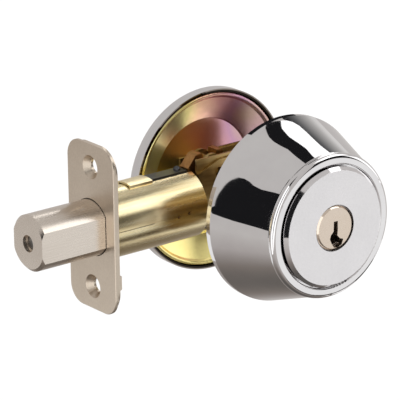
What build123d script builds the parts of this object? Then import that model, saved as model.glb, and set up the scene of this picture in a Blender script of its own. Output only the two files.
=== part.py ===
from build123d import *
import math
import os

# A tubular single-cylinder deadbolt, drawn as it sits in a door with its bolt thrown.
# X is the bolt's axis and the bolt points to -X. Y is the axis of the key and the
# thumb-turn: the key side is at -Y and the room side at +Y. Z is up.
# The origin is where the two axes cross, in the hub of the bolt case. Millimetres.

# Bolt and face plate
BACKSET = 60.3  # origin to the front of the face plate, 2-3/8 in
BACKSET_STEP = 9.5  # the case draws out to 2-3/4 in
THROW = 25.4
BOLT_R = 9.525  # 3/4 in bar
BOLT_FLAT = 7.95  # half of 5/8 in across the flats
BOLT_REAR = -50.0
TIP_CHAMFER = 1.0
ROLLER_R = 2.4
PLATE_WIDTH = 25.4
PLATE_HEIGHT = 57.15
PLATE_CORNER = 6.35
FRONT_PLATE_T = 1.0
BACK_PLATE_T = 0.95
SCREW_SPACING = 41.3
COUNTERSINK_R = 4.05
COUNTERSINK_DEPTH = 2.2
SCREW_HOLE_R = 2.45
DIMPLE_DEPTH = 1.1  # the backing plate is pressed out behind each countersink
EAR_Z = -16.6  # two small ears at the lower end of the backing plate
FACE_X = -BACKSET
SEAM_X = FACE_X + FRONT_PLATE_T  # where the two plates meet
MOUTH_X = SEAM_X + BACK_PLATE_T  # back of the face assembly, front of the tube
TIP_X = FACE_X - THROW

# Bolt case
TUBE_R = 11.8
TUBE_WALL = 0.9
TUBE_REAR = -20.6
BORE_R = TUBE_R - TUBE_WALL
SLOT_HALF = 2.7
STRAP_FRONT = -46.8
STRAP_REAR = -37.6
STRAP_TOP = 12.85
EDGE_BORE_R = 12.6  # the strap's corners are rolled down to clear a 1 in bore
SLEEVE_R = 10.6
SLEEVE_BORE = 9.9
SLEEVE_FRONT = -37.0
KEY_HALF = 2.45
KEY_REAR = -22.5
KEY_TOP = 12.1

# Crank and bolt bar
PIN_R = 2.0
CRANK_R = THROW / 2 / math.sin(math.radians(45))
PIN_X = -THROW / 2
FORK_HALF = PIN_R + 0.7  # room for the pin to lead and lag a steady slide
BAR_HALF = 2.2
HUB_R = 5.5
HUB_FLAT = 5.2
BOSS_R = 3.95
ARM_IN = 2.5
ARM_OUT = 3.7
BLADE_W = 6.2
BLADE_T = 1.6
RAIL_LOW = 6.4
RAIL_TOP = 9.4
FORK_TOP = 16.7

# Side plates of the rear case
SIDE_IN = 4.1
SIDE_T = 0.8
COVER_T = 0.8
NEAR_TOP = 15.7
FAR_TOP = 14.0
CASE_LOW = -13.5
CASE_REAR = 19.0
CUT_START = (-16.0, -9.0)  # the lower front corner is cut away under the tube
CUT_END_X = -13.4

# Mounting screws, at the same place in every plate that they cross
SCREW_X = 11.5
SCREW_Z = -9.8
SHANK_R = 2.0
RIVETS = ((-16.6, -6.4), (16.4, -10.6), (0, -11.0), (16.4, 1.0))

# Key side
COLLAR_R = 31.75
COLLAR_BASE = -24.5
COLLAR_BAND = 1.9
BEAD_R = 24.5
BEAD_START = -47.8
BEAD_FRONT = -50.4
BEAD_ROUND = 1.6
RIM_ROUND = 0.6
RECESS_R = 21.0
LIP_BORE = 18.2
DISC_R = 20.5
DISC_FRONT = -52.2
DISC_REAR = -48.4
PLUG_FACE_R = 7.5
PLUG_GAP = 0.45
PLUG_R = 6.4
PLUG_REAR = -26.0
PIN_ROWS = [-42.0 + 3.5 * row for row in range(5)]
PIN_LENGTHS = [4.2, 3.4, 4.6, 3.0, 3.8]
CHAMBER_R = 1.5
CHAMBER_TOP = 16.6

# Room side
ROSE_R = 31.75
ROSE_FRONT = 13.4
ROSE_RIM = 3.9
ROSE_TOP = 23.6
SPINDLE_R = 6.0
PADDLE_LENGTH = 25.0
PADDLE_WIDTH = 8.2
PADDLE_END = 35.6


def turned(points):
    """A solid of revolution about Y, from (radius, y) points."""
    return revolve(make_face(Polyline(*points, close=True)), Axis.Y)


def arc(centre, radius, start, end):
    """An arc in the (radius, y) plane between two angles in degrees."""
    places = []
    for degrees in (start, (start + end) / 2, end):
        angle = math.radians(degrees)
        places.append((centre[0] + radius * math.cos(angle), centre[1] + radius * math.sin(angle)))
    return ThreePointArc(*places)


def turned_outline(*pieces):
    """A solid of revolution about Y from lines and arcs, joined in order by straight runs."""
    edges = list(pieces)
    for this, following in zip(pieces, pieces[1:] + pieces[:1]):
        if (this @ 1 - following @ 0).length > 1e-6:
            edges.append(Line(this @ 1, following @ 0))
    return revolve(make_face(edges), Axis.Y)


def across(points, y_low, y_high):
    """A plate cut to an (x, z) outline, from one y to another."""
    outline = Plane.XZ.offset(-y_high) * make_face(Polyline(*points, close=True))
    return extrude(outline, y_high - y_low)


def rod_y(radius, y_low, y_high, x=0.0, z=0.0):
    return Pos(x, (y_low + y_high) / 2, z) * Rot(90, 0, 0) * Cylinder(radius, y_high - y_low)


def rod_x(radius, x_low, x_high, y=0.0, z=0.0):
    return Pos((x_low + x_high) / 2, y, z) * Rot(0, 90, 0) * Cylinder(radius, x_high - x_low)


def block(x_span, y_span, z_span):
    spans = (x_span, y_span, z_span)
    middle = [(low + high) / 2 for low, high in spans]
    size = [high - low for low, high in spans]
    return Pos(*middle) * Box(*size)


def bolt_section(grow=0.0):
    """The bolt's round-with-two-flats section, grown all round by a clearance."""
    side = 2 * (BOLT_FLAT + grow)
    return Circle(BOLT_R + grow) & Rectangle(side, 4 * BOLT_R)


def bolt_prism(x_low, x_high, grow=0.0):
    return extrude(Plane.YZ.offset(x_low) * bolt_section(grow), x_high - x_low)


def cone_x(r_low, r_high, x_low, x_high, z=0.0):
    """A cone along X with its two radii at the two ends."""
    cone = Cone(r_low, r_high, x_high - x_low)
    return Pos((x_low + x_high) / 2, 0, z) * Rot(0, 90, 0) * cone


def face_blank(x_low, x_high, corner, inset=0.0):
    outline = RectangleRounded(PLATE_WIDTH - 2 * inset, PLATE_HEIGHT - 2 * inset, corner)
    return extrude(Plane.YZ.offset(x_low) * outline, x_high - x_low)


def screw_dish():
    """The countersink that runs through both plates, at the two screw places."""
    floor = FACE_X + COUNTERSINK_DEPTH
    dishes = []
    for z in (-SCREW_SPACING / 2, SCREW_SPACING / 2):
        dishes.append(cone_x(COUNTERSINK_R, SCREW_HOLE_R, FACE_X, floor, z))
        dishes.append(rod_x(SCREW_HOLE_R, FACE_X + 1, MOUTH_X + 2 * DIMPLE_DEPTH, 0, z))
    return dishes


def face_plate():
    plate = face_blank(FACE_X, SEAM_X, PLATE_CORNER)
    rim = plate.faces().sort_by(Axis.X)[0].outer_wire().edges()
    plate = chamfer(rim, 0.2)
    plate -= bolt_prism(FACE_X - 1, SEAM_X + 1, 0.25)
    for dish in screw_dish():
        plate -= dish
    return plate


def backing_plate():
    corner = PLATE_CORNER + 2.2
    plate = face_blank(SEAM_X, MOUTH_X, corner, 0.1)
    for z in (-SCREW_SPACING / 2, SCREW_SPACING / 2):
        plate += cone_x(4.9, 3.5, MOUTH_X, MOUTH_X + DIMPLE_DEPTH, z)
    for side in (-1, 1):
        ear = Pos(MOUTH_X + 0.3, side * (PLATE_WIDTH / 2 - 0.5), EAR_Z) * Box(0.8, 0.8, 5.0)
        plate += fillet(ear.edges().filter_by(Axis.Y).sort_by(Axis.X)[-2:], 0.4)
    plate -= bolt_prism(SEAM_X - 1, MOUTH_X + 1, 0.25)
    for dish in screw_dish():
        plate -= dish
    return plate


def front_bush():
    rear = BOLT_REAR - 1.0
    bush = rod_x(BORE_R, MOUTH_X, rear)
    return bush - bolt_prism(MOUTH_X - 1, rear + 1, 0.15)


def bolt_case():
    tube = rod_x(TUBE_R, MOUTH_X, TUBE_REAR)
    tube = chamfer(tube.edges().sort_by(Axis.X)[-1], 0.4, 1.1)
    tube -= rod_x(BORE_R, MOUTH_X - 1, TUBE_REAR + 1)
    tube -= block((STRAP_FRONT + 0.4, TUBE_REAR + 1), (-SLOT_HALF, SLOT_HALF), (8, 14))
    seam_depth = 0.25
    seam = block((MOUTH_X, -43.2), (-TUBE_R - 1, seam_depth - TUBE_R), (0.38, 0.58))
    tube -= seam
    for x, z in ((-33.2, 0.5), (-28.8, 0.9)):
        tube -= Pos(x, -TUBE_R - 0.1, z) * Sphere(0.55)
    return tube


def slot_strap():
    """The lanced bridge over the slot, open at both ends like a tunnel."""
    half = SLOT_HALF + 0.8
    strap = block((STRAP_FRONT, STRAP_REAR), (-half, half), (BORE_R, STRAP_TOP))
    strap &= rod_x(EDGE_BORE_R, STRAP_FRONT, STRAP_REAR)
    strap -= rod_x(TUBE_R, STRAP_FRONT - 1, STRAP_REAR + 1)
    strap -= block((STRAP_FRONT - 1, STRAP_REAR + 1), (-SLOT_HALF, SLOT_HALF), (9, 11.9))
    return strap


def bolt_head():
    head = bolt_prism(TIP_X, BOLT_REAR)
    taper = cone_x(BOLT_R - TIP_CHAMFER, BOLT_R, TIP_X, TIP_X + TIP_CHAMFER)
    head &= taper + rod_x(BOLT_R + 1, TIP_X + TIP_CHAMFER, BOLT_REAR)
    head -= rod_x(ROLLER_R + 0.5, TIP_X - 1, TIP_X + 1.6)
    head -= rod_x(ROLLER_R + 0.05, TIP_X, TIP_X + 16.8)
    slot_half = BAR_HALF + 0.15
    head -= block((BOLT_REAR - 18, BOLT_REAR + 1), (-slot_half, slot_half), (-4.2, 4.2))
    return head


def roller_pin():
    pin = rod_x(ROLLER_R, TIP_X + 1.7, TIP_X + 16.6)
    return chamfer(pin.edges().filter_by(GeomType.CIRCLE), 0.3)


def bolt_bar():
    """Flat bar with a tongue in the bolt, a rail over the hub and a fork for the crank."""
    web_rear = BOLT_REAR + 18
    slot_front = PIN_X - FORK_HALF
    slot_rear = PIN_X + FORK_HALF
    outline = [
        (BOLT_REAR - 16, -4), (web_rear, -4), (web_rear, RAIL_LOW), (slot_rear + 2.8, RAIL_LOW),
        (slot_rear + 2.8, FORK_TOP - 0.8), (slot_rear + 2.0, FORK_TOP), (slot_rear, FORK_TOP),
        (slot_rear, 10.2), (slot_front, 10.2), (slot_front, FORK_TOP - 0.9),
        (slot_front - 0.8, FORK_TOP), (slot_front - 2.2, FORK_TOP), (slot_front - 3.3, FORK_TOP - 0.5),
        (-21.9, 12.4), (-21.9, RAIL_TOP), (BOLT_REAR + 1, RAIL_TOP), (BOLT_REAR + 1, 4),
        (BOLT_REAR - 16, 4),
    ]
    return across(outline, -BAR_HALF, BAR_HALF)


def guide_sleeve():
    """Inner sleeve of the rear case, with the key that runs in the tube's slot."""
    sleeve = rod_x(SLEEVE_R, SLEEVE_FRONT, KEY_REAR)
    sleeve += block((SLEEVE_FRONT, KEY_REAR), (-KEY_HALF, KEY_HALF), (9.5, KEY_TOP))
    sleeve += Pos(-24.6, 0.4, KEY_TOP) * Sphere(1.3)
    sleeve -= rod_x(SLEEVE_BORE, SLEEVE_FRONT - 1, KEY_REAR + 1)
    return sleeve


def through_case(plate, y_low, y_high, boss_gap):
    """Drill the hub, screw and tooling holes that every side plate has."""
    plate -= rod_y(BOSS_R + boss_gap, y_low - 1, y_high + 1)
    plate -= rod_y(1.6, y_low - 1, y_high + 1, -11.6, 10.2)
    for x in (-SCREW_X, SCREW_X):
        plate -= rod_y(SHANK_R + 0.4, y_low - 1, y_high + 1, x, SCREW_Z)
    for x, z in RIVETS:
        plate -= rod_y(1.5, y_low - 1, y_high + 1, x, z)
    return plate


def side_plate(top, y_low, y_high):
    """Inner side plate: a tongue into the sleeve and a body round the hub."""
    nose = KEY_REAR - 1.3
    front = TUBE_REAR + 0.3
    tongue = 7.6
    outline = [
        (nose, -tongue), (front, -tongue), CUT_START, (CUT_END_X, CASE_LOW),
        (CASE_REAR - 1.2, CASE_LOW), (CASE_REAR, CASE_LOW + 1.2), (CASE_REAR, top - 2),
        (CASE_REAR - 2, top), (front, top), (front, tongue), (nose, tongue),
    ]
    return through_case(across(outline, y_low, y_high), y_low, y_high, 0.05)


def side_cover(y_low, y_high):
    """Outer cover plate: its top edge slopes down to the tube."""
    front = TUBE_REAR + 0.4
    inset = 0.4
    low = CASE_LOW + inset
    rear = CASE_REAR - inset
    top = 14.4
    outline = [
        (front, -7.2), (CUT_START[0], CUT_START[1] + inset), (CUT_END_X + inset, low),
        (rear - 1.1, low), (rear, low + 1.1), (rear, 11), (rear - 3.6, top),
        (-11.5, top), (front, 10.9),
    ]
    return through_case(across(outline, y_low, y_high), y_low, y_high, 0.35)


def case_rivets():
    outer = SIDE_IN + SIDE_T + COVER_T
    rivets = []
    for x, z in RIVETS:
        rivet = rod_y(1.5, -outer, outer, x, z) + rod_y(2.1, -SIDE_IN, SIDE_IN, x, z)
        for side in (-1, 1):
            head = rod_y(2.5, outer, outer + 0.9, x, z)
            head = chamfer(head.edges().filter_by(GeomType.CIRCLE).sort_by(Axis.Y)[-1], 0.5)
            rivet += head if side > 0 else mirror(head, Plane.XZ)
        rivets.append(rivet)
    return Compound(rivets)


def cam():
    """Hub with two arms that straddle the bolt bar and carry the crank pin."""
    hub = rod_y(HUB_R, -ARM_OUT, ARM_OUT)
    hub -= block((-9, 9), (-4, 4), (-9, -HUB_FLAT))
    hub -= block((HUB_FLAT, 9), (-4, 4), (-9, 9))
    bosses = rod_y(BOSS_R, -SIDE_IN - SIDE_T, SIDE_IN + SIDE_T)
    arm_outline = Plane.XZ.offset(-ARM_OUT) * make_hull(
        [Pos(0, 0) * Circle(5.0).edge(), Pos(PIN_X, -PIN_X) * Circle(3.5).edge()]
    )
    arm = extrude(arm_outline, ARM_OUT - ARM_IN)
    arms = arm + mirror(arm, Plane.XZ)
    pin = rod_y(PIN_R, -ARM_OUT, ARM_OUT, PIN_X, -PIN_X)
    slot_t = BLADE_T / 2 + 0.1
    slot_w = BLADE_W / 2 + 0.1
    slot = block((-slot_t, slot_t), (-9, 9), (-slot_w, slot_w))
    return hub + bosses + arms + pin - slot


def cam_spring():
    """Leaf that presses on the hub's flats to hold the bolt in or out."""
    leaf = block((-8.4, 8.4), (-1.8, 1.8), (-6.2, -5.7))
    legs = block((-8.4, -7.9), (-1.8, 1.8), (-8.2, -6))
    legs += block((7.9, 8.4), (-1.8, 1.8), (-8.2, -6))
    feet = block((-8.4, -5.4), (-SIDE_IN, SIDE_IN), (-8.6, -8.2))
    feet += block((5.4, 8.4), (-SIDE_IN, SIDE_IN), (-8.6, -8.2))
    return leaf + legs + feet


def tailpiece():
    head = rod_y(3.7, PLUG_REAR + 0.6, PLUG_REAR + 2.0)
    half_t = BLADE_T / 2
    half_w = BLADE_W / 2
    blade = block((-half_t, half_t), (PLUG_REAR + 1, ROSE_TOP + 1), (-half_w, half_w))
    return head + blade


def collar():
    """Tapered guard ring with a round bead at its front and an inner lip that holds it."""
    wall = 1.3
    band = COLLAR_BASE - COLLAR_BAND
    bead_centre = (BEAD_R - BEAD_ROUND + 0.15, BEAD_FRONT + BEAD_ROUND)
    rim_centre = (RECESS_R + RIM_ROUND, BEAD_FRONT + RIM_ROUND)
    outside = Polyline((COLLAR_R, COLLAR_BASE), (COLLAR_R, band), (BEAD_R, BEAD_START))
    bead = arc(bead_centre, BEAD_ROUND, 33, -90)
    rim = arc(rim_centre, RIM_ROUND, -90, -180)
    inside = Polyline(
        (RECESS_R, DISC_REAR + 0.4), (LIP_BORE, DISC_REAR + 0.4), (LIP_BORE, DISC_REAR + 1.5),
        (BEAD_R - 2.2, DISC_REAR + 1.5), (COLLAR_R - wall, band - 0.2), (COLLAR_R - wall, COLLAR_BASE),
    )
    return turned_outline(outside, bead, rim, inside)


def cylinder_shell():
    """Face disc, plug housing with its pin stack, and the two screw posts."""
    barrel_rear = -44.0
    housing_rear = PLUG_REAR
    shell = turned([
        (0, DISC_FRONT), (DISC_R - 1.1, DISC_FRONT), (DISC_R, DISC_FRONT + 1.3),
        (DISC_R, DISC_REAR), (17.8, DISC_REAR), (17.8, barrel_rear), (0, barrel_rear),
    ])
    shell += rod_y(9.2, barrel_rear - 1, housing_rear)
    shell += block((-4.0, 4.0), (barrel_rear - 1, housing_rear - 0.2), (3, CHAMBER_TOP))
    for x in (-SCREW_X, SCREW_X):
        shell += rod_y(4.2, barrel_rear - 0.6, housing_rear - 0.3, x, SCREW_Z)
        web_span = (min(0, x), max(0, x))
        shell += block(web_span, (barrel_rear - 0.4, -30), (SCREW_Z + 0.2, SCREW_Z + 5))
    ring = rod_y(19, -46.4, -45.4) - rod_y(17.2, -47, -45)
    shell -= ring
    shell -= rod_y(PLUG_R + 0.05, DISC_FRONT - 1, housing_rear + 1)
    shell -= rod_y(PLUG_FACE_R + PLUG_GAP, DISC_FRONT - 1, DISC_FRONT + 2.3)
    for y in PIN_ROWS:
        shell -= Pos(0, y, CHAMBER_TOP - 5) * Cylinder(CHAMBER_R, 12)
    for x in (-SCREW_X, SCREW_X):
        shell -= rod_y(SHANK_R + 0.05, -41, housing_rear + 1, x, SCREW_Z)
    return shell


def collar_washer():
    """Thin flat washer between the collar's lip and the clip."""
    return turned([(18.1, -46.75), (21.6, -46.75), (21.6, -46.45), (18.1, -46.45)])


def collar_clip():
    ring = rod_y(19.6, -46.35, -45.45) - rod_y(17.25, -47, -45)
    return ring - block((-2.5, 2.5), (-47, -45), (-21, -12))


def pin_chamber_cover():
    length = (PIN_ROWS[0] - 1.9, PLUG_REAR - 0.2)
    cover = block((-3.4, 3.4), length, (CHAMBER_TOP, CHAMBER_TOP + 0.7))
    return chamfer(cover.edges().filter_by(Axis.Y).sort_by(Axis.Z)[-2:], 0.25)


def key_pins():
    pins = []
    for y, length in zip(PIN_ROWS, PIN_LENGTHS):
        top = PLUG_R - 0.22
        stem = Pos(0, y, top - (length - 1) / 2) * Cylinder(CHAMBER_R - 0.05, length - 1)
        tip = Pos(0, y, top - length + 0.5) * Cone(0.4, CHAMBER_R - 0.05, 1)
        pins.append(stem + tip)
    return Compound(pins)


def driver_pins():
    pins = []
    for y in PIN_ROWS:
        pin = Pos(0, y, PLUG_R + 2.2) * Cylinder(CHAMBER_R - 0.05, 4.2)
        pins.append(chamfer(pin.edges().filter_by(GeomType.CIRCLE), 0.2))
    return Compound(pins)


def pin_springs():
    """Five coil springs, each between its driver pin and the cover."""
    low = PLUG_R + 4.45
    height = CHAMBER_TOP - low - 0.4
    wire = 0.16
    springs = []
    for y in PIN_ROWS:
        path = Helix(height / 6, height, 1.2)
        start = Plane(path @ 0, z_dir=path % 0)
        coil = sweep(start * Circle(wire), path, is_frenet=True)
        springs.append(Pos(0, y, low + 0.2) * coil)
    return Compound(springs)


def keyway():
    """The warded slot: a narrow upper slit that steps aside and opens into a wide foot."""
    return [
        (-0.55, 2.3), (1.05, 2.3), (1.1, -0.8), (0.9, -2.7), (2.0, -3.9), (3.4, -4.4),
        (2.7, -6.2), (0.9, -6.9), (-0.5, -6.7), (-1.4, -5.4), (-2.3, -3.4), (-1.8, -2.1),
        (-0.7, -1.0),
    ]


def plug():
    body = rod_y(PLUG_FACE_R, DISC_FRONT - 0.1, DISC_FRONT + 2.0)
    rim = body.edges().filter_by(GeomType.CIRCLE).sort_by(Axis.Y)[0]
    body = chamfer(rim, 0.6)
    body += rod_y(PLUG_R, DISC_FRONT + 1, PLUG_REAR + 0.6)
    body += rod_y(5.2, PLUG_REAR, PLUG_REAR + 4.2)
    body -= across(keyway(), DISC_FRONT - 2, PLUG_REAR - 0.5)
    for y, length in zip(PIN_ROWS, PIN_LENGTHS):
        body -= Pos(0, y, PLUG_R - length / 2) * Cylinder(CHAMBER_R, length + 1)
    body -= rod_y(4.0, PLUG_REAR + 0.4, PLUG_REAR + 9)
    return body


def plug_clip():
    ring = rod_y(7.6, PLUG_REAR + 0.7, PLUG_REAR + 1.4) - rod_y(5.2, PLUG_REAR, PLUG_REAR + 3)
    return ring - block((-2, 2), (PLUG_REAR, PLUG_REAR + 3), (4, 9))


def tail_cap():
    """Threaded cap on the plug's neck that keeps the tailpiece's head in its bore."""
    cap = rod_y(7.0, PLUG_REAR + 1.6, PLUG_REAR + 5.0)
    rim = cap.edges().filter_by(GeomType.CIRCLE).sort_by(Axis.Y)[-1]
    cap = chamfer(rim, 0.4)
    cap -= rod_y(5.2, PLUG_REAR + 1, PLUG_REAR + 4.2)
    return cap - rod_y(3.35, PLUG_REAR, PLUG_REAR + 6)


def reinforcing_plate():
    plate = rod_y(29.9, COLLAR_BASE - 1.3, COLLAR_BASE)
    plate -= rod_y(9.7, COLLAR_BASE - 2, COLLAR_BASE + 1)
    for x in (-SCREW_X, SCREW_X):
        plate -= rod_y(SHANK_R + 0.25, COLLAR_BASE - 2, COLLAR_BASE + 1, x, SCREW_Z)
    return plate


def rose():
    back = ROSE_FRONT + ROSE_RIM
    wall = 1.1
    spindle_hole = SPINDLE_R + 0.06
    cover = turned([
        (ROSE_R, ROSE_FRONT), (ROSE_R, back), (ROSE_R - 0.5, back + 0.9),
        (ROSE_R - 1.8, back + 1.8), (25, back + 4.1), (19, back + 5.4),
        (13.5, ROSE_TOP - 0.1), (12, ROSE_TOP), (spindle_hole, ROSE_TOP),
        (spindle_hole, ROSE_TOP - wall), (12, ROSE_TOP - wall), (19, back + 5.4 - wall),
        (25, back + 4.1 - wall), (ROSE_R - 2.2, back + 0.8), (ROSE_R - wall, back),
        (ROSE_R - wall, ROSE_FRONT),
    ])
    for x in (-SCREW_X, SCREW_X):
        cover -= rod_y(SHANK_R + 0.3, 10, 30, x, SCREW_Z)
        cover -= rod_y(3.9, ROSE_TOP - 0.9, 30, x, SCREW_Z)
    return cover


def rose_plate():
    """Dished steel plate inside the rose, with a rolled lip and a sunk centre."""
    lip = ROSE_FRONT + 0.25
    roll = 0.75
    sheet = 0.9
    lip_roll = arc((29.6, lip + roll), roll, 0, -150)
    dish = Polyline(
        (28.4, lip + 1.0), (20.6, lip + 4.4), (20.2, lip + 5.3), (7.2, lip + 5.5),
        (7.2, lip + 5.5 + sheet), (20.4, lip + 5.3 + sheet), (21.2, lip + 4.4 + sheet),
        (28.7, lip + 1.2 + sheet), (29.6 + roll, lip + 1.5),
    )
    plate = turned_outline(lip_roll, dish)
    for x in (-SCREW_X, SCREW_X):
        plate -= rod_y(SHANK_R + 0.25, 10, 30, x, SCREW_Z)
    return plate


def mounting_screws():
    """Two long machine screws from the rose into the posts of the cylinder."""
    screws = []
    tip = -40.0
    head_low = ROSE_TOP - 0.9
    for x in (-SCREW_X, SCREW_X):
        head = rod_y(3.7, head_low, head_low + 1.9, x, SCREW_Z)
        head = fillet(head.edges().filter_by(GeomType.CIRCLE).sort_by(Axis.Y)[-1], 1.1)
        shank = rod_y(SHANK_R, tip, head_low + 0.1, x, SCREW_Z)
        shank = chamfer(shank.edges().filter_by(GeomType.CIRCLE).sort_by(Axis.Y)[0], 0.5)
        floor = (head_low + 0.9, head_low + 3)
        for half_x, half_z in ((2.2, 0.45), (0.45, 2.2)):
            x_span = (x - half_x, x + half_x)
            head -= block(x_span, floor, (SCREW_Z - half_z, SCREW_Z + half_z))
        screws.append(head + shank)
    return Compound(screws)


def turn_washer():
    disc = rod_y(9.4, ROSE_TOP, ROSE_TOP + 0.5)
    return disc - rod_y(SPINDLE_R + 0.06, ROSE_TOP - 1, ROSE_TOP + 2)


def thumb_turn():
    """Spindle, round boss and a short paddle, level while the bolt is thrown."""
    boss_low = ROSE_TOP + 0.7
    groove = ROSE_TOP - 2.3
    turn = rod_y(SPINDLE_R, groove - 0.9, boss_low + 1)
    turn -= rod_y(SPINDLE_R + 1, groove, groove + 0.9) - rod_y(5.2, groove - 1, groove + 2)
    boss = rod_y(9.6, boss_low, boss_low + 3.2)
    boss = fillet(boss.edges().filter_by(GeomType.CIRCLE).sort_by(Axis.Y)[-1], 1.4)
    grip = Plane.XZ.offset(-boss_low - 1) * SlotOverall(PADDLE_LENGTH, PADDLE_WIDTH)
    paddle = extrude(grip, boss_low + 1 - PADDLE_END)
    paddle = fillet(paddle.faces().sort_by(Axis.Y)[-1].edges(), 2.2)
    slot_t = BLADE_T / 2 + 0.12
    slot_w = BLADE_W / 2 + 0.12
    slot = block((-slot_t, slot_t), (groove - 2, ROSE_TOP + 2), (-slot_w, slot_w))
    return turn + boss + paddle - slot


def turn_clip():
    groove = ROSE_TOP - 2.3
    ring = rod_y(8.4, groove + 0.1, groove + 0.8) - rod_y(5.25, groove - 1, groove + 2)
    return ring - block((-2.2, 2.2), (groove - 1, groove + 2), (4, 10))


NODES = {
    "face_plate": face_plate,
    "backing_plate": backing_plate,
    "front_bush": front_bush,
    "bolt_case": bolt_case,
    "slot_strap": slot_strap,
    "bolt_head": bolt_head,
    "roller_pin": roller_pin,
    "bolt_bar": bolt_bar,
    "guide_sleeve": guide_sleeve,
    "side_plate_near": lambda: side_plate(NEAR_TOP, -SIDE_IN - SIDE_T, -SIDE_IN),
    "side_plate_far": lambda: side_plate(FAR_TOP, SIDE_IN, SIDE_IN + SIDE_T),
    "side_cover_near": lambda: side_cover(-SIDE_IN - SIDE_T - COVER_T, -SIDE_IN - SIDE_T),
    "side_cover_far": lambda: side_cover(SIDE_IN + SIDE_T, SIDE_IN + SIDE_T + COVER_T),
    "case_rivets": case_rivets,
    "cam": cam,
    "cam_spring": cam_spring,
    "tailpiece": tailpiece,
    "collar": collar,
    "cylinder_shell": cylinder_shell,
    "collar_washer": collar_washer,
    "collar_clip": collar_clip,
    "pin_chamber_cover": pin_chamber_cover,
    "key_pins": key_pins,
    "driver_pins": driver_pins,
    "pin_springs": pin_springs,
    "plug": plug,
    "plug_clip": plug_clip,
    "tail_cap": tail_cap,
    "reinforcing_plate": reinforcing_plate,
    "rose": rose,
    "rose_plate": rose_plate,
    "mounting_screws": mounting_screws,
    "turn_washer": turn_washer,
    "thumb_turn": thumb_turn,
    "turn_clip": turn_clip,
}

os.makedirs("parts", exist_ok=True)
for name, make in NODES.items():
    export_step(make(), "parts/" + name + ".step")
    print(name)
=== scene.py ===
# %% [markdown]
# # A tubular deadbolt, finished in Blender
# The lock is a set of plated steel and brass pieces: a bolt in a tube, a tapered
# collar round the key cylinder, and a round rose with a thumb-turn. Its pieces come in
# at their real size and place, with their edges already rounded, so none is rebuilt
# here. This lesson gives each one the surface of the real metal, smooths its shading,
# and lights it as a product is lit: in a pale room, with white boxes and black flags
# for the chrome.

# %% The frame and the sizes that everything else starts from
import bpy
import bmesh
import math
from mathutils import Matrix, Vector


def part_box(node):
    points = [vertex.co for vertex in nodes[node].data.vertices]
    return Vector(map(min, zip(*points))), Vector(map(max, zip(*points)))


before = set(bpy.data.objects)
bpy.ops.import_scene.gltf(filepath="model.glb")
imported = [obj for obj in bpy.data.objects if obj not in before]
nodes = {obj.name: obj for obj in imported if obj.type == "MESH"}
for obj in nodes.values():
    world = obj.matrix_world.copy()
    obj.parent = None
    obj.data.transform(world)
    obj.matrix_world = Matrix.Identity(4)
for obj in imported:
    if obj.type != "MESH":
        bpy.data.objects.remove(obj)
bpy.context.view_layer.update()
MM = 0.001

# %% [markdown]
# ## Helpers for materials
# Colours are picked as sRGB hex values and turned to linear light once, here. One
# function adds a shader node with its settings and its links, so that a material
# reads as a short list of steps.

# %% Colour and node helpers
def colour(hex_value):
    """Linear RGBA from an sRGB hex string."""
    parts = [int(hex_value[i:i + 2], 16) / 255 for i in (0, 2, 4)]
    linear = [p / 12.92 if p <= 0.04045 else ((p + 0.055) / 1.055) ** 2.4 for p in parts]
    return (*linear, 1.0)


def add(tree, kind, settings=None, links=None):
    """One shader node: settings go to its inputs or properties, links to its inputs."""
    node = tree.nodes.new("ShaderNode" + kind)
    for key, value in (settings or {}).items():
        if isinstance(key, int) or key in node.inputs:
            node.inputs[key].default_value = value
        else:
            setattr(node, key, value)
    for key, socket in (links or {}).items():
        tree.links.new(socket, node.inputs[key])
    return node


def ramp(tree, factor, stops):
    """A colour ramp through (position, hex) stops."""
    node = add(tree, "ValToRGB", links={0: factor})
    while len(node.color_ramp.elements) < len(stops):
        node.color_ramp.elements.new(0.5)
    for element, (place, hex_value) in zip(node.color_ramp.elements, stops):
        element.position = place
        element.color = colour(hex_value)
    return node.outputs[0]


def new_material(name):
    material = bpy.data.materials.new(name)
    material.use_nodes = True
    tree = material.node_tree
    return material, tree, tree.nodes["Principled BSDF"]


print("helpers ready")

# %% [markdown]
# ## Plated metals
# Every surface here is a thin plate of metal over steel, zinc or brass. What tells
# them apart is tint, roughness and the marks of how the base was worked: a brushed
# bar has fine lines along it, a tumbled stamping has an even fine grain, and polished
# chrome has almost nothing but a few soft smears. One function draws a metal from
# those facts. The grain of real plating is a few hundredths of a millimetre, too fine
# to show, so it is drawn at a few tenths.

# %% A metal with grain, lines and worn tint
def metal(name, dark, light, rough, grain_mm=0.35, stretch=(1, 1, 1), bump=0.05, rough_spread=0.08):
    material, tree, shader = new_material(name)
    place = add(tree, "TexCoord").outputs["Object"]
    turned = add(tree, "Mapping", {"Scale": stretch}, {"Vector": place}).outputs[0]
    grain_size = {"Scale": 1 / (grain_mm * MM) / 3, "Detail": 4.0}
    grain = add(tree, "TexNoise", grain_size, {"Vector": turned})
    cloud = add(tree, "TexNoise", {"Scale": 60.0, "Detail": 3.0}, {"Vector": place})
    mixed = add(tree, "Math", {"operation": "MULTIPLY_ADD", 1: 0.45}, {0: grain.outputs[0]})
    half_cloud = add(tree, "Math", {"operation": "MULTIPLY", 1: 0.55}, {0: cloud.outputs[0]})
    tree.links.new(half_cloud.outputs[0], mixed.inputs[2])
    tint = ramp(tree, mixed.outputs[0], [(0.3, dark), (0.7, light)])
    tree.links.new(tint, shader.inputs["Base Color"])
    limits = {3: rough - rough_spread, 4: rough + rough_spread}
    spread = add(tree, "MapRange", limits, {0: mixed.outputs[0]})
    tree.links.new(spread.outputs[0], shader.inputs["Roughness"])
    height = {"Strength": bump, "Distance": 0.02 * MM}
    relief = add(tree, "Bump", height, {"Height": grain.outputs[0]})
    tree.links.new(relief.outputs[0], shader.inputs["Normal"])
    shader.inputs["Metallic"].default_value = 1.0
    return material


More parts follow.
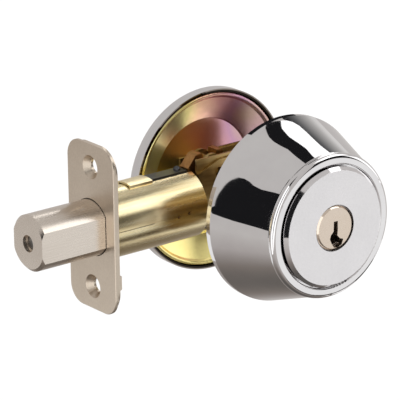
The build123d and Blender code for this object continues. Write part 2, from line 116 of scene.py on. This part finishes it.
satin_nickel = metal("satin_nickel_plate", "c9bbaa", "dccfbe", 0.34, grain_mm=0.22, bump=0.2)
bar_nickel = metal("drawn_bar_nickel", "d4cabf", "e6ddd2", 0.27, 0.1, (0.03, 1, 1), 0.15)
polished_chrome = metal(
    "polished_chrome_plate", "dcdadb", "e4e3e3", 0.03, 2.0, bump=0.0, rough_spread=0.01)
satin_chrome = metal(
    "satin_chrome_face", "dedcdd", "eae8e9", 0.26, 0.3, bump=0.12, rough_spread=0.04)
plug_nickel = metal("nickel_plated_brass", "d8c8b7", "e5d7c8", 0.28, 0.25, bump=0.06)
plain_steel = metal("hardened_steel", "7f7e7c", "a09e9b", 0.3, 0.2, bump=0.2)
dark_steel = metal("dark_zinc_plated_steel", "4b4c4e", "626366", 0.42, 0.3, bump=0.25)
spring_steel = metal("spring_steel", "75767a", "94959a", 0.28, 0.2, (0.2, 1, 1), 0.1)
turned_brass = metal("turned_brass", "b8934f", "d2b06c", 0.25, 0.2, (1, 0.1, 1), 0.15)
cast_zinc = metal("cast_zinc", "8c8b89", "a3a2a0", 0.45, 0.5, bump=0.4)


def polish_outside(material, radius_mm, rough):
    """The face is satin, but its turned bevel, outside a radius, is left polished."""
    tree = material.node_tree
    shader = tree.nodes["Principled BSDF"]
    satin = shader.inputs["Roughness"].links[0].from_socket
    spot = add(tree, "SeparateXYZ", links={0: add(tree, "TexCoord").outputs["Object"]})
    flat = add(tree, "CombineXYZ", links={0: spot.outputs[0], 1: spot.outputs[2]})
    reach = add(tree, "VectorMath", {"operation": "LENGTH"}, {0: flat.outputs[0]}).outputs["Value"]
    outside = add(tree, "Math", {"operation": "GREATER_THAN", 1: radius_mm * MM}, {0: reach})
    blend = add(tree, "Mix", {3: rough}, {0: outside.outputs[0], 2: satin})
    tree.links.new(blend.outputs[0], shader.inputs["Roughness"])


def cut_edge_and_gap_shade(material, front, inside, shaded_bare_edge, worn):
    """The sheet's cut edge, at its front, is bare metal under the chrome; inside a radius it is
    painted near-black as painted shade of the gap at the rim, and outside it is a worn grey.
    """
    tree = material.node_tree
    shader = tree.nodes["Principled BSDF"]
    plate = shader.inputs["Base Color"].links[0].from_socket
    spot = add(tree, "SeparateXYZ", links={0: add(tree, "TexCoord").outputs["Object"]})
    cut = add(tree, "Math", {"operation": "LESS_THAN", 1: front}, {0: spot.outputs[1]})
    flat = add(tree, "CombineXYZ", links={0: spot.outputs[0], 1: spot.outputs[2]})
    reach = add(tree, "VectorMath", {"operation": "LENGTH"}, {0: flat.outputs[0]}).outputs["Value"]
    # Inside this radius the edge is painted near-black: painted shade of the gap at the rim.
    near = add(tree, "Math", {"operation": "LESS_THAN", 1: inside}, {0: reach})
    tones = {"data_type": "RGBA", 6: colour(worn), 7: colour(shaded_bare_edge)}
    edge = add(tree, "Mix", tones, {0: near.outputs[0]})
    parts = {0: cut.outputs[0], 6: plate, 7: edge.outputs[2]}
    blend = add(tree, "Mix", {"data_type": "RGBA"}, parts)
    tree.links.new(blend.outputs[2], shader.inputs["Base Color"])


rose_chrome = metal(
    "polished_chrome_rose", "dcdadb", "e4e3e3", 0.03, 2.0, bump=0.0, rough_spread=0.01)
rose_front, rose_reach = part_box("rose")[0][1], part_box("rose")[1][0]
# The rose's cut edge gets a near-black inner band, painted shade of the gap at the rim, and a worn
# grey outer band of bare metal.
cut_edge_and_gap_shade(rose_chrome, rose_front + 0.05 * MM, rose_reach - 0.42 * MM, "2b251f", "8f867f")
print("rose reach mm", round(rose_reach / MM, 2))
FACE_FLAT_RADIUS, PLUG_FLAT_RADIUS = 19.45, 6.95
polish_outside(satin_chrome, FACE_FLAT_RADIUS, 0.06)
polish_outside(plug_nickel, PLUG_FLAT_RADIUS, 0.1)
print("plain metals", len(bpy.data.materials))

# %% [markdown]
# ## Yellow dichromate
# Steel parts inside a lock are zinc plated and dipped in dichromate, which leaves a
# film so thin that it shows interference colours: straw and gold where it is thin,
# then rose, violet and green where it is thicker. The film drains and dries unevenly,
# so the colours drift in broad clouds with a few sharper streaks. The material mixes a
# broad noise and a stretched one into one film thickness, and a ramp turns that
# thickness into the colours of the film.

# %% Dichromate film over zinc
def dichromate(name, stops, rough=0.27, cloud=28.0, streak=(1, 1, 1), drift=0.35, lines=0.12):
    material, tree, shader = new_material(name)
    place = add(tree, "TexCoord").outputs["Object"]
    clouds = {"Scale": cloud, "Detail": 2.0, "Distortion": 0.6}
    broad = add(tree, "TexNoise", clouds, {"Vector": place})
    turned = add(tree, "Mapping", {"Scale": streak}, {"Vector": place}).outputs[0]
    fine = add(tree, "TexNoise", {"Scale": 900.0, "Detail": 3.0}, {"Vector": turned})
    part = add(tree, "Math", {"operation": "MULTIPLY", 1: drift}, {0: fine.outputs[0]})
    thickness = {"operation": "MULTIPLY_ADD", 1: 1 - drift}
    film = add(tree, "Math", thickness, {0: broad.outputs[0], 2: part.outputs[0]})
    tree.links.new(ramp(tree, film.outputs[0], stops), shader.inputs["Base Color"])
    spread = add(tree, "MapRange", {3: rough - 0.07, 4: rough + 0.09}, {0: fine.outputs[0]})
    tree.links.new(spread.outputs[0], shader.inputs["Roughness"])
    height = {"Strength": lines, "Distance": 0.02 * MM}
    relief = add(tree, "Bump", height, {"Height": fine.outputs[0]})
    tree.links.new(relief.outputs[0], shader.inputs["Normal"])
    shader.inputs["Metallic"].default_value = 1.0
    return material


STRAW = [(0.3, "c2a878"), (0.45, "e6d5a9"), (0.55, "efe1b8"), (0.7, "cfb483")]
UMBER = [(0.3, "8d7248"), (0.45, "b39a68"), (0.55, "c2ab78"), (0.7, "9c8256")]
BROWN = [(0.3, "6a4a2c"), (0.5, "a87a4a"), (0.7, "c79a62")]
tube_gold = dichromate("dichromate_tube", STRAW, 0.24, 22.0, (0.04, 1, 1))
strap_gold = dichromate("dichromate_strap", STRAW, 0.3, 60.0, (0.15, 1, 1))
plate_gold = dichromate("dichromate_plates", UMBER, 0.3, 60.0, (0.15, 1, 1))
bar_brown = dichromate("dichromate_bar", BROWN, 0.32, 90.0)
print("dichromates ready")

# %% [markdown]
# ## The inside of the tube
# The inside of the tube and its small punched marks lie in shade, and that shade is
# painted into the colour: a point that lies deeper than the outer skin is painted
# dark brown as painted shade.

# %% Painted shade below the tube's skin
SKIN = 0.08 * MM
tree = tube_gold.node_tree
shader = tree.nodes["Principled BSDF"]
spot = add(tree, "SeparateXYZ", links={0: add(tree, "TexCoord").outputs["Object"]})
ring = add(tree, "CombineXYZ", links={0: spot.outputs[1], 1: spot.outputs[2]})
depth = add(tree, "VectorMath", {"operation": "LENGTH"}, {0: ring.outputs[0]}).outputs["Value"]
tube_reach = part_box("bolt_case")[1][2]
inner = add(tree, "Math", {"operation": "LESS_THAN", 1: tube_reach - SKIN}, {0: depth})
film = shader.inputs["Base Color"].links[0].from_socket
# Painted shade: every point below the outer skin is painted dark brown.
inside_shade = {"data_type": "RGBA", 7: colour("5b4122")}
shaded = add(tree, "Mix", inside_shade, {0: inner.outputs[0], 6: film})
tree.links.new(shaded.outputs[2], shader.inputs["Base Color"])
print("tube stained below", round((tube_reach - SKIN) / MM, 2), "mm")

# %% [markdown]
# ## The dish's thicker film
# The dished plate hung at a slant in its bath, so its film is thicker towards one
# upper side: straw yellow there turns to rose and violet. The film's thickness is the
# place along that slant plus a soft cloud, and a ramp turns it into interference
# colours.

# %% Dichromate that drifts from yellow to violet
dish_oil, tree, shader = new_material("dichromate_dish")
place = add(tree, "TexCoord").outputs["Object"]
cloud = add(tree, "TexNoise", {"Scale": 38.0, "Detail": 2.0, "Distortion": 0.4}, {"Vector": place})
slant = add(tree, "VectorMath", {"operation": "DOT_PRODUCT", 1: (0.9, 0.0, 0.35)}, {0: place})
side = add(tree, "MapRange", {1: -6 * MM, 2: 30 * MM, 3: 0.0, 4: 0.62}, {0: slant.outputs["Value"]})
share = {"operation": "MULTIPLY_ADD", 1: 0.55}
film = add(tree, "Math", share, {0: cloud.outputs[0], 2: side.outputs[0]})
tint = ramp(tree, film.outputs[0], [
    (0.18, "f2e9a6"), (0.38, "f1e094"), (0.5, "eec39b"),
    (0.62, "e2a9a6"), (0.74, "c99bb4"), (0.9, "dcc79a"),
])
tree.links.new(tint, shader.inputs["Base Color"])
fine = add(tree, "TexNoise", {"Scale": 700.0, "Detail": 3.0}, {"Vector": place})
spread = add(tree, "MapRange", {3: 0.16, 4: 0.28}, {0: fine.outputs[0]})
tree.links.new(spread.outputs[0], shader.inputs["Roughness"])
relief = add(tree, "Bump", {"Strength": 0.08, "Distance": 0.02 * MM}, {"Height": fine.outputs[0]})
tree.links.new(relief.outputs[0], shader.inputs["Normal"])
shader.inputs["Metallic"].default_value = 1.0
print("dish film ready")

# %% [markdown]
# ## Moulded nylon
# The washer under the thumb-turn is the one plastic piece: white nylon, waxy and a
# little uneven.

# %% Nylon
nylon, tree, shader = new_material("moulded_nylon")
place = add(tree, "TexCoord").outputs["Object"]
mottle = add(tree, "TexNoise", {"Scale": 700.0, "Detail": 2.0}, {"Vector": place})
white_nylon = ramp(tree, mottle.outputs[0], [(0.3, "d9d8d2"), (0.7, "e8e7e2")])
tree.links.new(white_nylon, shader.inputs["Base Color"])
shader.inputs["Roughness"].default_value = 0.5
print("materials", len(bpy.data.materials))

# %% [markdown]
# ## Smooth shading with true edges
# The pieces come in as loose flat triangles, and polished chrome would show every one.
# A Weld modifier joins their corners, and an Edge Split at fifteen degrees keeps each
# real edge crisp, so that shading runs smoothly over the round faces between them.

# %% Smoothing
WELD_REACH = 0.0005 * MM


def smooth(piece, edge_angle=15):
    weld = piece.modifiers.new("weld", "WELD")
    weld.merge_threshold = WELD_REACH
    split = piece.modifiers.new("edges", "EDGE_SPLIT")
    split.split_angle = math.radians(edge_angle)
    piece.data.shade_smooth()


for piece in nodes.values():
    smooth(piece)
print("smoothed", len(nodes))

# %% Every piece that keeps its own shape gets its finish
finishes = {
    "face_plate": satin_nickel, "backing_plate": satin_nickel, "front_bush": cast_zinc,
    "bolt_case": tube_gold, "slot_strap": strap_gold, "bolt_head": bar_nickel,
    "roller_pin": plain_steel, "bolt_bar": bar_brown, "guide_sleeve": dark_steel,
    "side_plate_near": plate_gold, "side_plate_far": plate_gold, "side_cover_near": plate_gold,
    "side_cover_far": plate_gold, "case_rivets": plain_steel, "cam": plate_gold,
    "cam_spring": spring_steel, "tailpiece": plain_steel, "collar": polished_chrome,
    "cylinder_shell": satin_chrome, "collar_washer": spring_steel, "collar_clip": spring_steel,
    "pin_chamber_cover": turned_brass, "key_pins": turned_brass, "driver_pins": turned_brass,
    "pin_springs": spring_steel, "plug": plug_nickel, "plug_clip": spring_steel,
    "tail_cap": turned_brass, "reinforcing_plate": plate_gold, "rose": rose_chrome,
    "rose_plate": dish_oil, "mounting_screws": plain_steel, "turn_washer": nylon,
    "thumb_turn": polished_chrome, "turn_clip": spring_steel,
}
for name, finish in finishes.items():
    nodes[name].data.materials.clear()
    nodes[name].data.materials.append(finish)
print("finished nodes", len(finishes))

# %% [markdown]
# ## The camera
# A long lens from well back keeps the shapes true. The camera stands to the left of
# the key side and looks down a little.

# %% Camera
azimuth, elevation, roll = (math.radians(angle) for angle in (-37.4, 18.86, -0.89))
distance, slide_right, slide_up = 1.20044, -12.17 * MM, -3.73 * MM
level = math.cos(elevation)
back = Vector((math.sin(azimuth) * level, -math.cos(azimuth) * level, math.sin(elevation)))
right = (-back).cross(Vector((0, 0, 1))).normalized()
up = right.cross(-back)
right, up = (
    right * math.cos(roll) + up * math.sin(roll),
    up * math.cos(roll) - right * math.sin(roll),
)
camera = bpy.data.objects.new("camera", bpy.data.cameras.new("camera"))
camera.data.lens = 320.2
camera.data.clip_end = 20.0
turned_axes = Matrix((right, up, back)).transposed().to_4x4()
stand = back * distance + right * slide_right + up * slide_up
camera.matrix_world = Matrix.Translation(stand) @ turned_axes
bpy.context.scene.collection.objects.link(camera)
bpy.context.scene.camera = camera
print("camera at", [round(c, 3) for c in camera.location])

# %% [markdown]
# ## The room
# Chrome has no colour of its own: it shows the room. So the room is built for it. A
# pale floor lies under the lock in even white light, and a large dome, which only
# reflections see, gives the greys of a studio: pale above, darker below.

# %% Light, floor and dome
SCENE = bpy.context.scene
SCENE.view_settings.view_transform = "Standard"
world = bpy.data.worlds.new("room")
world.use_nodes = True
world.node_tree.nodes["Background"].inputs[0].default_value = colour("ffffff")
world.node_tree.nodes["Background"].inputs[1].default_value = 1.12
SCENE.world = world


def glow(name, stops, axis=2, low=-1.0, high=1.0, strength=1.0):
    """A lamp-like surface whose grey follows one axis of its own place, in metres."""
    material, tree, shader = new_material(name)
    tree.nodes.remove(shader)
    place = add(tree, "TexCoord").outputs["Object"]
    along = add(tree, "SeparateXYZ", links={0: place}).outputs[axis]
    level = add(tree, "MapRange", {1: low, 2: high}, {0: along}).outputs[0]
    light = add(tree, "Emission", {"Strength": strength}, {"Color": ramp(tree, level, stops)})
    tree.links.new(light.outputs[0], tree.nodes["Material Output"].inputs[0])
    return material


def staged(name, bm, material, reflections_only=True):
    """Turns a bmesh into a stage object, by default one that only reflections see."""
    mesh = bpy.data.meshes.new(name)
    bm.to_mesh(mesh)
    bm.free()
    mesh.materials.append(material)
    thing = bpy.data.objects.new(name, mesh)
    SCENE.collection.objects.link(thing)
    if reflections_only:
        thing.visible_camera = False
        thing.visible_diffuse = False
        thing.visible_shadow = False
    return thing


FLOOR_HALF, FLOOR_HEIGHT, DOME_RADIUS = 3.0, -0.16, 1.0
bm = bmesh.new()
bmesh.ops.create_grid(bm, x_segments=1, y_segments=1, size=FLOOR_HALF)
bmesh.ops.translate(bm, vec=(0, 0, FLOOR_HEIGHT), verts=bm.verts)
floor_paint, tree, shader = new_material("pale_floor")
shader.inputs["Base Color"].default_value = colour("f6f6f6")
shader.inputs["Roughness"].default_value = 0.9
floor = staged("floor", bm, floor_paint, reflections_only=False)
floor.visible_glossy = False

bm = bmesh.new()
bmesh.ops.create_uvsphere(bm, u_segments=48, v_segments=24, radius=DOME_RADIUS)
bmesh.ops.reverse_faces(bm, faces=bm.faces)
greys = [
    (0.02, "625f5c"), (0.09, "877f79"), (0.2, "bab4b1"),
    (0.35, "d0ccc9"), (0.55, "ccc8c6"), (1.0, "d0cdcb"),
]
staged("studio_dome", bm, glow("studio_grey", greys))
print("room ready")

# %% [markdown]
# ## Boxes and flags
# White boxes give the highlights, and black flags give chrome its dark shapes with
# crisp edges. A flag close to the lock is reflected with curved edges, because each
# point of the collar sees it from another place. Flags are cut to an outline in one
# plane, like card, and boxes are soft boxes that face the lock.

# %% Cards
def flag(name, plane, offset, corners, material):
    """A card cut to an outline, in mm, in the plane where one axis has one value."""
    bm = bmesh.new()
    spots = []
    for across, along in corners:
        spot = [across * MM, along * MM]
        spot.insert(plane, offset * MM)
        spots.append(bm.verts.new(spot))
    bm.faces.new(spots)
    return staged(name, bm, material)


def soft_box(name, towards, away, width, height, material, turn=0.0):
    """A flat box that faces the lock from a direction, at a distance in metres."""
    bm = bmesh.new()
    bmesh.ops.create_grid(bm, x_segments=1, y_segments=1, size=0.5)
    bmesh.ops.scale(bm, vec=(width, height, 1), verts=bm.verts)
    direction = Vector(towards).normalized()
    spin = Matrix.Rotation(math.radians(turn), 4, "Z")
    face = direction.to_track_quat("Z", "Y").to_matrix().to_4x4()
    place = Matrix.Translation(direction * away) @ face @ spin
    bmesh.ops.transform(bm, matrix=place, verts=bm.verts)
    return staged(name, bm, material)


X_PLANE, Y_PLANE, Z_PLANE = 0, 1, 2
black = glow("black_card", [(0.0, "1c1c1e"), (1.0, "1c1c1e")])
white = glow("white_card", [(0.0, "ffffff"), (1.0, "ffffff")], strength=1.5)
bright = glow("bright_card", [(0.0, "ffffff"), (1.0, "ffffff")], strength=2.0)
dim = glow("dim_card", [(0.0, "59544f"), (1.0, "59544f")])
strong = glow("strong_card", [(0.0, "ffffff"), (1.0, "ffffff")], strength=3.2)
mid_white = glow("pale_card", [(0.0, "ffffff"), (1.0, "ffffff")], strength=1.0)
flag("side_flag", X_PLANE, -100, [
    (-10.6, 7.3), (-12.8, 13.7), (-13.2, 43), (-12.6, 84), (-14, 88), (-16.5, 86),
    (-19.2, 80), (-22.6, 79), (-26, 88), (-31, 96), (-34, 96), (-33, -6.5), (-26.5, -4.3),
    (-19.3, -2.8), (-11.9, 0.7),
], black)
flag("bead_box", X_PLANE, -100, [
    (-36, 150), (-36, -60), (-86, -60), (-89, 20), (-101, 60), (-114, 110), (-126, 150),
], white)
flag("bevel_flag", X_PLANE, -100, [
    (-87, -24), (-90, 20), (-102, 60), (-115, 110), (-127, 160), (-175, 160), (-150, 108),
    (-120, 30), (-106, -24),
], black)
flag("outer_box", X_PLANE, -100, [
    (-107, -60), (-107, -24), (-121, 30), (-151, 108), (-176, 160), (-300, 160), (-300, -60),
], white)
flag("top_flag", Z_PLANE, 100, [
    (15.6, -1), (8, -4), (-1, -9.5), (-2.4, -12), (-0.9, -14.3), (2.4, -16.8), (0.9, -21),
    (0, -30), (26, -30), (27.4, -18), (31.7, -12.8), (29.5, -10.5), (26, -7.2), (30, -1.7),
    (43, 6),
], black)
flag("top_box", Z_PLANE, 100, [
    (43.2, 6.1), (30.2, -1.7), (26.2, -7.2), (29.7, -10.5), (31.9, -12.8), (27.6, -18),
    (26, -32), (90, -32), (85, 2), (76, 4.1), (75.3, 8.3), (76, 12), (74, 15), (66, 13.5),
    (54, 9.9),
], white)
flag("roof_flag", Y_PLANE, 5, [
    (-14, 46), (-6, 62), (12, 60), (30, 50), (38, 40), (32, 35), (15, 39), (0, 43),
], black)
flag("dish_card", Y_PLANE, -24.1, [
    (0, 14), (33, 14), (33, -24), (-8, -24), (-8, -12), (0, -10),
], mid_white)
fade = [(0.0, "e4e2e0"), (0.3, "b9b7b5"), (0.75, "6a6a6b"), (1.0, "2c2c2e")]
soft_box("right_fade", (0.71, 0.5, 0.5), 0.9, 0.28, 0.62, glow("fading_card", fade, 2, 0.25, 0.66))
soft_box("front_box", (0.575, -0.752, -0.34), 0.6, 0.6, 0.24, mid_white)
soft_box("band_flag", (0.575, -0.79, 0.2), 0.6, 0.3, 0.36, black)
soft_box("low_flag", (0.575, -0.54, -0.62), 0.6, 0.6, 0.16, dim)
soft_box("corner_flag", (-0.5, -0.4, 0.77), 0.6, 0.26, 0.26, black)
soft_box("dish_flag", (0.79, -0.1, -0.61), 0.6, 0.34, 0.09, black)
soft_box("straw_box", (0.65, -0.22, -0.73), 0.65, 0.34, 0.13, white)
soft_box("ember_box", (0.865, -0.05, -0.5), 0.65, 0.34, 0.07, mid_white)
soft_box("dish_box", (0.87, -0.4, 0.13), 0.6, 0.34, 0.3, white)
soft_box("arc_box", (0.575, -0.47, 0.67), 0.6, 0.4, 0.28, bright)
soft_box("crown_box", (0.61, 0.589, 0.53), 0.8, 0.16, 0.34, strong)
soft_box("plate_box", (-0.5, 0.68, -0.54), 0.4, 0.3, 0.16, mid_white)
